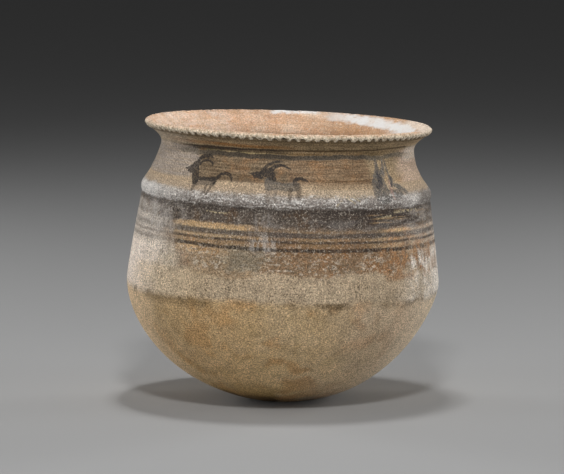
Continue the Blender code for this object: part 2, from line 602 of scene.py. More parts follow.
class NodeSheet:
    """One node tree, and the one way in which nodes are added to it."""

    def __init__(self, tree: bpy.types.NodeTree) -> None:
        """Keep the tree that the nodes go into."""
        self.tree = tree

    def add(
        self, kind: str, inputs: dict | Sequence = (), output: int | str = 0, **settings: object
    ) -> Socket:
        """Add a node with its settings and links.

        Args:
            kind: The node's type without its first word, such as "Math".
            inputs: Values and sockets, in order or by socket name or number.
            output: Name or number of the output that is wanted.
            **settings: Properties of the node itself.

        Returns:
            The wanted output socket.
        """
        prefix = "" if kind.startswith("NodeGroup") else "ShaderNode"
        node = self.tree.nodes.new(prefix + kind)
        for name, value in settings.items():
            setattr(node, name, value)
        pairs = inputs.items() if isinstance(inputs, dict) else enumerate(inputs)
        for key, value in pairs:
            if isinstance(value, bpy.types.NodeSocket):
                self.tree.links.new(value, node.inputs[key])
            else:
                node.inputs[key].default_value = value
        return node.outputs[output]


class Figure(Enum):
    """The painted figures and marks, each as the brush strokes that it is made of.

    A stroke is a row of places: mm round the jar, mm up it and half its width there.
    """

    LEFT_IBEX = (
        ((-76.6, 164.5, 0.3), (-73.5, 164.5, 0.9), (-70.5, 165.3, 2)),
        ((-73.7, 162.9, 0.4), (-70.2, 163.6, 1.7)),
        ((-68, 166.8, 2.8), (-66.6, 163.2, 3), (-65.1, 159.4, 2.7), (-64, 157.2, 2.4)),
        (
            (-66.7, 168.9, 1.7), (-65.1, 171.9, 1.4), (-61.4, 173.6, 1.2), (-57.4, 174.1, 1),
            (-54.5, 173, 0.3),
        ),
        (
            (-64.7, 168, 1.1), (-62.4, 170, 0.7), (-58.5, 171.2, 0.6), (-55.1, 170.2, 0.6),
            (-53.6, 168.9, 0.6), (-53.5, 167.4, 0.2),
        ),
        ((-61.2, 158.8, 1.2), (-54.3, 158.9, 1.1), (-49.4, 159.2, 1.6)),
        ((-48.9, 158.2, 1.8), (-49, 156.5, 0.9)),
        (
            (-48, 159.8, 1.4), (-45.6, 162.7, 1), (-42.1, 163.8, 0.9), (-38.6, 162.6, 0.9),
            (-37, 160.7, 0.8), (-36.9, 159, 0.2),
        ),
    )
    LEFT_BELLY = (
        ((-63.7, 156.4, 2.2), (-56.4, 157, 2), (-49.5, 157.5, 2.1)),
    )
    LEFT_LEGS = (
        ((-63.9, 154.7, 1.7), (-63.3, 151.2, 0.9)),
        ((-54.1, 155.3, 0.9), (-53.3, 150.6, 0.6)),
        ((-49.8, 155.9, 1.2), (-50.8, 153.2, 0.9), (-51.8, 149.6, 0.6)),
    )
    RIGHT_IBEX = (
        ((-24.4, 164.7, 0.4), (-21.2, 164.2, 1.5), (-17.3, 164.8, 2.1)),
        ((-22.4, 162.7, 0.4), (-17.2, 163.3, 1.7)),
        ((-15.8, 165.4, 2.2), (-12.2, 165.6, 3), (-10.1, 163.3, 2.5), (-8.1, 161.5, 1.1)),
        (
            (-16.6, 167, 1.1), (-14, 170.1, 0.9), (-10.3, 172.3, 0.8), (-7, 173.2, 0.6),
            (-3.9, 173, 0.2),
        ),
        (
            (-10.8, 167.8, 1.7), (-7.9, 169.8, 1), (-4, 171, 0.8), (-0.4, 169.9, 0.6),
            (2.1, 168.4, 0.2),
        ),
        (
            (4.1, 160.8, 0.6), (6.4, 162.2, 1.2), (8.8, 162.9, 0.8), (12.2, 161.7, 0.7),
            (14.3, 160.8, 0.2),
        ),
    )
    FADED_BODY = (
        ((-11.9, 160.2, 2.5), (-11, 157.6, 2.9), (-6.6, 157.6, 2.2)),
        ((-6.6, 157.5, 2.3), (-0.7, 156.9, 2.3), (5.4, 157.6, 2.7)),
    )
    FADED_FORELEGS = (
        ((-11.7, 155.3, 1.7), (-11.1, 147.2, 1)),
        ((-7.4, 154.9, 0.9), (-6.8, 148, 0.7)),
    )
    FADED_RUMP = (
        ((2.2, 155.3, 1.1), (1.8, 147.6, 0.8)),
        ((5.6, 158.9, 1.5), (7.9, 156.4, 1.7), (7.8, 150.4, 1)),
    )
    BUSH = (
        ((67.1, 174, 0.8), (67.5, 169.3, 1.3), (67.4, 165.5, 2.2)),
        ((67.7, 165.1, 3.4), (66.9, 161.3, 4.8), (66, 157.9, 5.8), (66, 153, 7)),
        ((73.5, 173.4, 0.8), (73.5, 169.1, 1.3), (71.7, 164.9, 2.2)),
        ((76.2, 173.3, 0.5), (76.9, 168.9, 0.6), (78, 164.5, 0.6)),
        ((78, 163.4, 1), (78.9, 161, 1.6), (77.5, 157.6, 1.1)),
        ((80.8, 157.2, 1.2), (84.8, 155.5, 2), (89.6, 153, 1.2)),
        ((68, 152, 2.6), (82, 152.1, 2.2)),
    )
    BUSH_HEART = (
        ((67.2, 171.6, 0.2), (67.4, 168.2, 0.4), (67.4, 164.4, 0.9)),
        ((68.3, 164, 1.4), (67.9, 160.2, 2.2), (64.5, 157.2, 1.4)),
        ((78.8, 162.9, 0.7), (79, 160.2, 1), (77.5, 157.6, 0.5)),
    )
    BUSH_STALK = (
        ((76.6, 161, 0.2), (75.7, 156.6, 0.5), (74.3, 152.5, 1.1), (74.6, 149.2, 0.6)),
    )
    PALE_SCRATCHES = (
        ((31, 145.6, 0.4), (34.6, 149.4, 0.6)),
        ((38, 151, 0.6), (43.8, 146.8, 0.4)),
        ((43, 151, 0.4), (46.5, 148.4, 0.4)),
        ((-50, 138.6, 0.25), (-44, 138, 0.4), (-34, 138.2, 0.2)),
        ((58, 136.6, 0.3), (70.5, 137.8, 0.6)),
        ((74, 140.1, 0.7), (98, 140.6, 0.4)),
    )
    DARK_PITS = (
        ((-63.4, 79, 0.7), (-62.9, 78.8, 0.7)),
        ((19, 80.2, 0.7), (26.5, 78.8, 1.7), (36.5, 80.2, 0.7)),
        ((26.5, 78.6, 1.2), (28, 74.6, 0.5)),
    )


def brush_stroke_nodes() -> bpy.types.NodeTree:
    """Return the node group that measures how far a place is from one stroke.

    Returns:
        A group whose result is the distance in mm from the edge of a stroke
        that tapers between two ends, negative where there is paint.
    """
    group = bpy.data.node_groups.new("brush_stroke", "ShaderNodeTree")
    for name, kind in (
        ("Place", "NodeSocketVector"),
        ("Start", "NodeSocketVector"),
        ("End", "NodeSocketVector"),
        ("Start width", "NodeSocketFloat"),
        ("End width", "NodeSocketFloat"),
    ):
        group.interface.new_socket(name, in_out="INPUT", socket_type=kind)
    group.interface.new_socket("Distance", in_out="OUTPUT", socket_type="NodeSocketFloat")
    sheet = NodeSheet(group)
    place, start, end, first, last = sheet.add("NodeGroupInput").node.outputs[:5]
    offset = sheet.add("VectorMath", (place, start), operation="SUBTRACT")
    line = sheet.add("VectorMath", (end, start), operation="SUBTRACT")
    reach = sheet.add("VectorMath", (offset, line), output="Value", operation="DOT_PRODUCT")
    square = sheet.add("VectorMath", (line, line), output="Value", operation="DOT_PRODUCT")
    share = sheet.add("Math", (reach, square), operation="DIVIDE")
    share = sheet.add("Math", (share, 0), operation="MAXIMUM")
    share = sheet.add("Math", (share, 1), operation="MINIMUM")
    nearest = sheet.add("VectorMath", {0: line, 3: share}, operation="SCALE")
    away = sheet.add("VectorMath", (offset, nearest), output="Value", operation="DISTANCE")
    width = sheet.add("MapRange", {0: share, 3: first, 4: last}, clamp=False)
    edge = sheet.add("Math", (away, width), operation="SUBTRACT")
    group.links.new(edge, group.nodes.new("NodeGroupOutput").inputs[0])
    return group


class JarPatterns:
    """Patterns that lie on the jar, all in millimetres of the real surface.

    A belt's numbers are levels up the jar, and an arc's are lengths round it from
    the front, positive to the right. The last one is how soft the edges are.
    """

    def __init__(self, sheet: NodeSheet, shape: JarShape, around_radius: float) -> None:
        """Work out where each place lies on the upright jar.

        Args:
            sheet: The material's nodes.
            shape: The jar's sizes and how it stands.
            around_radius: Radius in mm at which the painter's lengths hold.
        """
        self.sheet = sheet
        where = sheet.add("TexCoord", output="Object")
        upright = sheet.add(
            "Mapping",
            {
                "Vector": where,
                "Location": shape.place.translation,
                "Rotation": shape.place.to_euler(),
            },
            vector_type="TEXTURE",
        )
        self.point = sheet.add("VectorMath", {0: upright, 3: 1 / MILLIMETRE}, operation="SCALE")
        across, depth, level = sheet.add("SeparateXYZ", (self.point,)).node.outputs
        front = sheet.add("Math", (depth, -1), operation="MULTIPLY")
        angle = sheet.add("Math", (across, front), operation="ARCTAN2")
        self.around = sheet.add("Math", (angle, around_radius), operation="MULTIPLY")
        self.true_level = level
        self.along = sheet.add("Attribute", output="Fac", attribute_name="along")
        self.gap = sheet.add("Attribute", output="Fac", attribute_name="gap")
        self.level = self.shaken(level, (55, 1.6), (9, 0.9))
        self.ragged_level = self.shaken(self.level, (14, 4), (3.2, 2.6))
        self.ragged_around = self.shaken(self.around, (26, 26), (4, 7))
        self.stroke = brush_stroke_nodes()

    def cloud(self, size: float, stretch: Triple = EVEN, detail: float = 2) -> Socket:
        """Return an uneven value round 0.5.

        Args:
            size: Size of its patches in mm.
            stretch: How much finer it is along each of the three axes.
            detail: How many finer layers lie over it.

        Returns:
            The value, mostly between 0.3 and 0.7.
        """
        spot = self.point
        if stretch != EVEN:
            spot = self.sheet.add("VectorMath", (spot, stretch), operation="MULTIPLY")
        inputs = {"Vector": spot, "Scale": 1 / size, "Detail": detail, "Roughness": 0.6}
        return self.sheet.add("TexNoise", inputs)

    def spread(self, cloud: Socket, low: float, high: float) -> Socket:
        """Return a cloud with its usual span of 0.3 to 0.7 brought to another one."""
        return self.sheet.add("MapRange", {0: cloud, 1: 0.3, 2: 0.7, 3: low, 4: high})

    def shaken(self, value: Socket, *shakes: Pair) -> Socket:
        """Return a value pushed up and down by uneven amounts.

        Args:
            value: What is pushed.
            *shakes: Size of the patches that are pushed together and full
                reach of the push, both in mm.

        Returns:
            The pushed value.
        """
        add = self.sheet.add
        for size, reach in shakes:
            push = add("Math", (self.cloud(size), reach, -reach / 2), operation="MULTIPLY_ADD")
            value = add("Math", (value, push), operation="ADD")
        return value

    def mottle(
        self, size: float, low: float, high: float, stretch: Triple = EVEN, detail: float = 2
    ) -> Socket:
        """Return patches of 1 in a ground of 0.

        A smooth step stays between 0 and 1 by itself, so it isn't clamped: clamps
        in a tree of this size would overfill what the renderer keeps for a place.

        Args:
            size: Size of the patches in mm.
            low: Cloud value at which a patch begins.
            high: Cloud value at which it is full.
            stretch: How much finer it is along each of the three axes.
            detail: How many finer layers lie over it.

        Returns:
            The patches' mask.
        """
        cloud = self.cloud(size, stretch, detail)
        inputs = {0: cloud, 1: low, 2: high}
        return self.sheet.add("MapRange", inputs, interpolation_type="SMOOTHSTEP", clamp=False)

    def between(self, value: Socket, low: float, high: float, soft: float) -> Socket:
        """Return 1 where a value lies between two limits.

        Args:
            value: What is looked at.
            low: The lower limit.
            high: The upper limit.
            soft: Half the width of the passage at each limit.

        Returns:
            The mask.
        """
        add = self.sheet.add
        offset = add("Math", (value, (low + high) / 2), operation="SUBTRACT")
        away = add("Math", (offset,), operation="ABSOLUTE")
        half = (high - low) / 2
        inputs = {0: away, 1: half + soft, 2: half - soft}
        return add("MapRange", inputs, interpolation_type="SMOOTHSTEP", clamp=False)

    def belt(self, low: float, high: float, soft: float) -> Socket:
        """Return a belt between two levels, as even as a brush on a turning jar."""
        return self.between(self.level, low, high, soft)

    def ragged_belt(self, low: float, high: float, soft: float) -> Socket:
        """Return a belt between two levels with ragged edges."""
        return self.between(self.ragged_level, low, high, soft)

    def arc(self, low: float, high: float, soft: float) -> Socket:
        """Return a stretch of the way round the jar with ragged ends."""
        return self.between(self.ragged_around, low, high, soft)

    def all_of(self, *masks: Socket | float) -> Socket:
        """Return the masks multiplied together."""
        return reduce(lambda a, b: self.sheet.add("Math", (a, b), operation="MULTIPLY"), masks)

    def any_of(self, *masks: Socket | float) -> Socket:
        """Return the strongest of the masks."""
        return reduce(lambda a, b: self.sheet.add("Math", (a, b), operation="MAXIMUM"), masks)

    def without(self, mask: Socket | float, cover: Socket, share: float = 1) -> Socket:
        """Return a mask with a share of another one taken out of it.

        Args:
            mask: What is kept.
            cover: What is taken out.
            share: How much of it is taken out.

        Returns:
            The mask that is left.
        """
        if share != 1:
            cover = self.all_of(cover, share)
        kept = self.sheet.add("Math", (1, cover), operation="SUBTRACT")
        return self.all_of(mask, kept)

    def drawn(self, figure: Figure, around: Socket, soft: float) -> Socket:
        """Return a figure's painted mask.

        Args:
            figure: Which figure.
            around: Place round the jar that it is drawn at.
            soft: Half the width of its edge in mm.

        Returns:
            1 where its strokes are.
        """
        add = self.sheet.add
        place = add("CombineXYZ", (self.shaken(around, (5, 1.2)), self.true_level, 0))
        nearest = 99
        for stroke in figure.value:
            for start, end in zip(stroke, stroke[1:]):
                inputs = {
                    "Place": place,
                    "Start": (*start[:2], 0),
                    "End": (*end[:2], 0),
                    "Start width": start[2],
                    "End width": end[2],
                }
                distance = add("Group", inputs, node_tree=self.stroke)
                nearest = add("Math", (nearest, distance), operation="MINIMUM")
        inputs = {0: self.shaken(nearest, (1.6, 1.6)), 1: soft, 2: -soft / 3}
        return add("MapRange", inputs, interpolation_type="SMOOTHSTEP", clamp=False)

    def stacked(self, colour: Socket | Colour, layers: Iterable[Layer]) -> Socket:
        """Lay colours over each other.

        Args:
            colour: What lies at the bottom.
            layers: From the bottom up, each as its hex colour, how much it
                hides at most, and the masks of where it lies.

        Returns:
            The colour seen from outside.
        """
        for tone, cover, *masks in layers:
            inputs = {0: self.all_of(*masks, cover), 6: colour, 7: linear(tone)}
            colour = self.sheet.add("Mix", inputs, output=2, data_type="RGBA")
        return colour


@dataclass(frozen=True)
class BareClay:
    """Buff clay under thin washes, matt and streaked level by the turning.

    The ground's tones lie at levels in mm, from the worn flat up to the rim. The stops up to
    12 mm are painted shade under the bowl, and those at 142 and 144.5 mm are painted shade
    under the shoulder ridge.
    """

    on: JarPatterns
    top_level: float = 200
    ground_and_shade_tones: tuple[tuple[float, str], ...] = (
        # Up to 12 mm: painted shade under the bowl, darkest where it meets the floor.
        (0, "2a1e10"), (4, "35250f"), (8, "5c4422"), (12, "a98c58"), (20, "ddbf90"),
        (50, "bda27a"), (78, "b59c77"), (82, "b7a388"), (104, "b7a287"), (114, "a8927a"),
        # The stops at 142 and 144.5 mm are painted shade under the shoulder ridge.
        (142, "6d655e"), (144.5, "797069"), (147.5, "958d86"), (150, "9d938a"), (152.5, "ae9d8b"),
        (156.5, "bba488"), (161, "a08a6c"), (176, "9a8566"), (187.5, "958063"), (190, "d2c0a8"),
    )

    def ground(self) -> Socket:
        """Return the bare clay's colour at each level, with its broad patches, and painted shade
        under the bowl and under the shoulder ridge.

        Returns:
            The colour under every wash.
        """
        on = self.on
        share = on.sheet.add("Math", (on.level, self.top_level), operation="DIVIDE")
        ramp = on.sheet.add("ValToRGB", (share,))
        stops = ramp.node.color_ramp.elements
        for number, (level, tone) in enumerate(self.ground_and_shade_tones):
            stop = stops[number] if number < 2 else stops.new(1)
            stop.position = level / self.top_level
            stop.color = linear(tone)
        bowl = on.ragged_belt(-20, 80.5, 3.5)
        layers = (
            ("c9b08c", 0.55, on.mottle(30, 0.44, 0.62), bowl),
            ("a08a62", 0.45, on.mottle(12, 0.48, 0.66, detail=3), bowl),
            ("b88853", 0.5, on.mottle(24, 0.48, 0.62), bowl),
            ("cba571", 0.35, on.arc(-84, -20, 26), bowl),
            ("8b7450", 0.1, on.ragged_belt(54, 81, 7), on.arc(-112, -40, 24)),
            ("8f7a52", 0.25, on.ragged_belt(12, 23, 4), on.arc(-60, 60, 20)),
            ("dfc29c", 0.9, on.arc(-190, -94, 20), bowl),
            ("c2b2a2", 0.35, on.arc(34, 100, 22), bowl),
            ("dfcbb0", 0.85, on.arc(84, 200, 24), bowl),
        )
        return on.stacked(ramp, layers)

    def frieze(self) -> Iterator[Layer]:
        """Return the washes of the neck, on which the animals are painted.

        Returns:
            The layers.
        """
        on = self.on
        neck = on.belt(158.3, 180, 1.2)
        behind = on.without(on.mottle(38, 0.46, 0.54), on.arc(-128, 128, 8))
        right = on.arc(12, 66, 6)
        yield "66543f", 0.9, neck, on.arc(-66, 2, 5)
        yield "765c43", 0.9, neck, on.arc(0, 62, 4)
        yield "966c44", 0.45, neck, on.mottle(15, 0.52, 0.66), on.arc(-69, 112, 5)
        yield "8a6a4a", 0.8, neck, behind
        yield "6f5337", 0.6, on.ragged_belt(159.6, 163.4, 1.2), on.arc(17, 60, 8)
        yield "a3978c", 0.9, neck, on.arc(-150, -68, 4)
        yield "c3aa95", 0.95, neck, on.arc(92, 170, 6)
        yield "b9a388", 0.6, on.belt(151.5, 158.5, 1.8)
        yield "957c5e", 0.5, on.belt(155.6, 159.5, 1.2), right
        yield "cfbba0", 0.4, on.belt(150.5, 155.4, 1.2), right

    def flare(self) -> Iterator[Layer]:
        """Return the washes between the painted line and the rim.

        Returns:
            The layers.
        """
        on = self.on
        flare = on.belt(180.5, 188, 1.5)
        streaks = on.mottle(1.2, 0.42, 0.62, stretch=LEVEL_STREAKS)
        yield "b09873", 0.6, flare, streaks
        yield "9c6a35", 0.75, on.belt(181.6, 183.8, 0.6), on.arc(-100, 0, 14)
        yield "7a6a4e", 0.5, flare, on.arc(-4, 110, 14)
        yield "b8ad9d", 0.5, flare, on.arc(-160, -70, 10)
        yield "75603f", 0.6, on.belt(177, 181.2, 0.8), on.arc(-30, 84, 10)
        yield "9a8c64", 0.65, on.belt(177.3, 178.5, 0.5), on.arc(-62, -12, 5)

    def stripes(self) -> Iterator[Layer]:
        """Return the bare clay that shows between the lines under the band.

        Returns:
            The layers, the last one the dusty film at both sides.
        """
        on = self.on
        stripes = on.ragged_belt(112, 131, 1.5)
        front = on.arc(-69, 112, 5)
        high_gap = on.belt(127.6, 131.6, 0.7)
        rusty = on.all_of(stripes, on.arc(66, 124, 8))
        behind = on.without(on.mottle(44, 0.48, 0.6), on.between(on.around, -130, 130, 15))
        right = on.all_of(on.arc(112, 190, 8), 0.45)
        yield "b79d7b", 0.95, stripes, front, on.mottle(26, 0.30, 0.52)
        yield "bd8b5a", 0.45, stripes, front, on.mottle(11, 0.5, 0.66)
        yield "7c5c3c", 0.55, stripes, on.arc(-24, 56, 10)
        yield "77583a", 0.45, on.belt(116.8, 120.4, 0.8), on.arc(-66, 56, 10)
        yield "d0ac7c", 0.6, high_gap, on.arc(-69, -20, 4)
        yield "6b6158", 0.45, high_gap, on.arc(-16, 74, 6)
        yield "e0bd8c", 0.85, on.all_of(on.belt(126.4, 129.4, 0.7), on.arc(68, 124, 6))
        yield "c8b9a6", 0.6, stripes, on.arc(84, 200, 8)
        yield "b97c48", 0.4, rusty, on.mottle(8, 0.4, 0.58)
        film = on.any_of(on.arc(-170, -82, 14), right, behind)
        yield "d8cec2", 0.75, on.ragged_belt(108, 140, 3), film

    def wash(self) -> Iterator[Layer]:
        """Return the brown wash with a torn edge that hangs over the belly.

        Returns:
            The layers, from the wash's pale top down into its flakes.
        """
        on = self.on
        torn = on.shaken(on.ragged_level, (30, 16), (2, 5))
        wash = on.all_of(on.between(torn, 101, 160, 1.6), on.ragged_belt(60, 117, 2))
        low = on.all_of(on.between(torn, 97.5, 160, 1.6), on.ragged_belt(60, 110, 2))
        light = on.ragged_belt(111, 117, 1.5)
        flakes = on.mottle(2.8, 0.5, 0.6, stretch=(0.7, 0.7, 1.3), detail=4)
        yield "cdaa7f", 0.9, light, on.arc(-70, -30, 5)
        yield "967c5e", 0.75, low, on.arc(-66, -14, 4)
        yield "876a4e", 0.85, wash, on.arc(-14, 106, 4)
        yield "9a6b40", 0.5, wash, on.arc(-69, 112, 5), on.mottle(9, 0.5, 0.64)
        yield "c0a280", 0.6, light, on.arc(74, 106, 5)
        yield "d0c3b0", 0.68, wash, flakes, on.mottle(16, 0.34, 0.56)
        yield "6a4f35", 0.45, wash, on.mottle(5, 0.54, 0.64, detail=4)
        yield "827967", 0.75, wash, on.arc(-38, -10, 5)

    def streaks(self) -> Iterator[Layer]:
        """Return the level streaks that the turning and burnishing left.

        Returns:
            The layers, the first one the dust of the neck's far right.
        """
        on = self.on
        streaks = on.mottle(1.2, 0.42, 0.62, stretch=LEVEL_STREAKS)
        yield "d2c8bb", 0.65, on.all_of(on.belt(172, 181, 2), on.arc(100, 170, 8))
        yield "c4ab8a", 0.28, streaks, on.belt(156, 190, 4)
        yield "6d5238", 0.25, streaks, on.ragged_belt(112, 131, 1.5)

    def washes(self) -> Iterator[Layer]:
        """Return all the washes over the bare ground.

        Returns:
            Their layers, from the neck down, with the streaks over them.
        """
        for lay in (self.frieze, self.flare, self.stripes, self.wash, self.streaks):
            yield from lay()


@dataclass(frozen=True)
class SunkenPaint:
    """Brown-black brush paint that has sunk in and worn to specks of bare clay.

    The animals and bushes come again at even distances, in mm round the jar.
    """

    on: JarPatterns
    animals_end: float = 13.9
    animals_apart: float = 94.248
    bush_end: float = 130
    bushes_apart: float = 282.744

    def wear(self) -> Socket:
        """Return where the painted bands have worn thin.

        Returns:
            The mask of what is gone.
        """
        on = self.on
        grains = on.all_of(on.mottle(1.15, 0.51, 0.63, detail=1), 0.45)
        streaks = on.all_of(on.mottle(2.2, 0.48, 0.66, stretch=(0.08, 0.08, 1)), 0.45)
        patches = on.all_of(on.mottle(17, 0.56, 0.72), 0.5)
        return on.any_of(grains, streaks, patches)

    def neck_lines(self, worn: Socket) -> Iterator[Layer]:
        """Return the wavy line over the animals and the tilted one above it.

        Args:
            worn: Where paint is gone.

        Returns:
            The layers.
        """
        on = self.on
        add = on.sheet.add
        wavy = on.shaken(on.level, (22, 4), (6, 2))
        tilted = add("Math", (on.around, -0.013, -180.6), operation="MULTIPLY_ADD")
        tilted = add("Math", (on.level, tilted), operation="ADD")
        low = on.without(on.between(wavy, 174.7, 177.6, 0.5), worn, 0.4)
        high = on.without(on.between(tilted, -0.5, 0.6, 0.4), worn, 0.4)
        thick = on.all_of(on.between(tilted, -1.9, 0.9, 0.6), on.arc(-80, -4, 8))
        yield "766d5f", 0.86, low, on.arc(-90, 102, 8)
        yield "3d3730", 0.72, low, on.arc(-59, 68, 8)
        yield "3a2e20", 0.4, low, on.arc(-70, 8, 8)
        yield "4a3826", 0.85, high, on.arc(-90, 100, 9)
        yield "3d352d", 0.85, on.without(thick, worn, 0.8)

    def band(self, worn: Socket) -> Iterator[Layer]:
        """Return the broad dark band under the shoulder.

        Args:
            worn: Where paint is gone.

        Returns:
            The layers, the last one the pale film on its lower edge.
        """
        on = self.on
        band = on.all_of(on.ragged_belt(130.9, 150, 1), on.belt(100, 142.5, 0.35))
        patches = on.mottle(7, 0.45, 0.62, stretch=(0.35, 0.35, 1))
        kept = on.any_of(on.arc(-92, 150, 10), 0.5)
        streaks = on.mottle(1.5, 0.54, 0.64, stretch=LEVEL_STREAKS)
        yield "4e443c", 0.93, on.without(band, worn), kept
        yield "584d45", 0.62, on.all_of(on.ragged_belt(129, 132.6, 0.9), on.arc(2, 165, 10))
        yield "63492f", 0.45, band, on.mottle(8, 0.52, 0.64)
        yield "433933", 0.75, on.without(band, worn, 0.5), on.arc(18, 100, 12)
        yield "b0926a", 0.6, band, streaks, on.arc(52, 116, 8)
        yield "3a332e", 0.5, on.without(on.belt(139.6, 142.5, 0.8), worn, 0.6)
        yield "8a837d", 0.4, on.ragged_belt(129.5, 135.5, 1.6), patches

    def lines(self, worn: Socket) -> Iterator[Layer]:
        """Return the three lines under the band, of which the last sinks to the left.

        Args:
            worn: Where paint is gone.

        Returns:
            The layers, the last one the film that thins them at the right.
        """
        on = self.on
        kept = on.any_of(on.arc(-71, 150, 6), 0.45)
        drop = on.all_of(on.between(on.around, -130, -44, 14), -0.8)
        sinking = on.sheet.add("Math", (on.level, drop), operation="ADD")
        for tone, cover, level, low, high, soft, share in (
            ("4e4946", 0.88, on.level, 123.8, 127.3, 0.8, 0.6),
            ("463b33", 0.9, on.level, 120.2, 121.9, 0.55, 0.75),
            ("3a312a", 0.95, sinking, 114.5, 117, 0.55, 0.8),
        ):
            yield tone, cover, on.without(on.between(level, low, high, soft), worn, share), kept
        patches = on.mottle(7, 0.45, 0.62, stretch=(0.35, 0.35, 1))
        thin = on.all_of(on.ragged_belt(121, 141, 2.5), patches)
        yield "b3aaa0", 0.4, thin, on.arc(74, 130, 9)

    def bands(self) -> Iterator[Layer]:
        """Return all that is painted right round the jar.

        Returns:
            The layers, all worn in the same places.
        """
        worn = self.wear()
        for lay in (self.neck_lines, self.band, self.lines):
            yield from lay(worn)

    def figures(self) -> Iterator[Layer]:
        """Return the painted animals, fainter behind.

        Returns:
            One layer for each figure, the soft ones first.
        """
        on = self.on
        limits = self.animals_end, self.animals_end - self.animals_apart
        around = on.sheet.add("Math", (on.around, *limits), operation="WRAP")
        bare = on.any_of(
            on.between(on.around, -128, 155, 2), on.between(on.around, -228, -176, 2)
        )
        behind = on.all_of(on.without(on.mottle(22, 0.3, 0.6), bare), 0.7)
        shown = on.any_of(on.between(on.around, -81, 14.3, 0.5), behind)
        shown = on.without(shown, on.mottle(0.9, 0.5, 0.62, detail=1), 0.35)
        for figure, tone, soft, cover in (
            (Figure.FADED_FORELEGS, "7a6f64", 0.8, 0.66),
            (Figure.FADED_BODY, "69635b", 0.9, 0.88),
            (Figure.FADED_RUMP, "54493e", 0.8, 0.7),
            (Figure.LEFT_LEGS, "62564a", 0.5, 0.75),
            (Figure.LEFT_BELLY, "6b6156", 0.5, 0.75),
            (Figure.LEFT_IBEX, "322c28", 0.35, 0.92),
            (Figure.RIGHT_IBEX, "322c28", 0.35, 0.95),
        ):
            yield tone, cover, on.drawn(figure, around, soft), shown

    def bushes(self) -> Iterator[Layer]:
        """Return the painted bush at the right and its fellow behind.

        Returns:
            One layer for each tone of the bush.
        """
        on = self.on
        limits = self.bush_end, self.bush_end - self.bushes_apart
        around = on.sheet.add("Math", (on.around, *limits), operation="WRAP")
        streaks = on.mottle(1.3, 0.46, 0.6, stretch=(1, 1, 0.2))
        for figure, tone, soft, cover in (
            (Figure.BUSH, "66635f", 1.1, 0.9),
            (Figure.BUSH_HEART, "423f42", 0.8, 0.75),
            (Figure.BUSH_STALK, "b59384", 0.5, 0.7),
        ):
            yield tone, cover, on.without(on.drawn(figure, around, soft), streaks, 0.35)


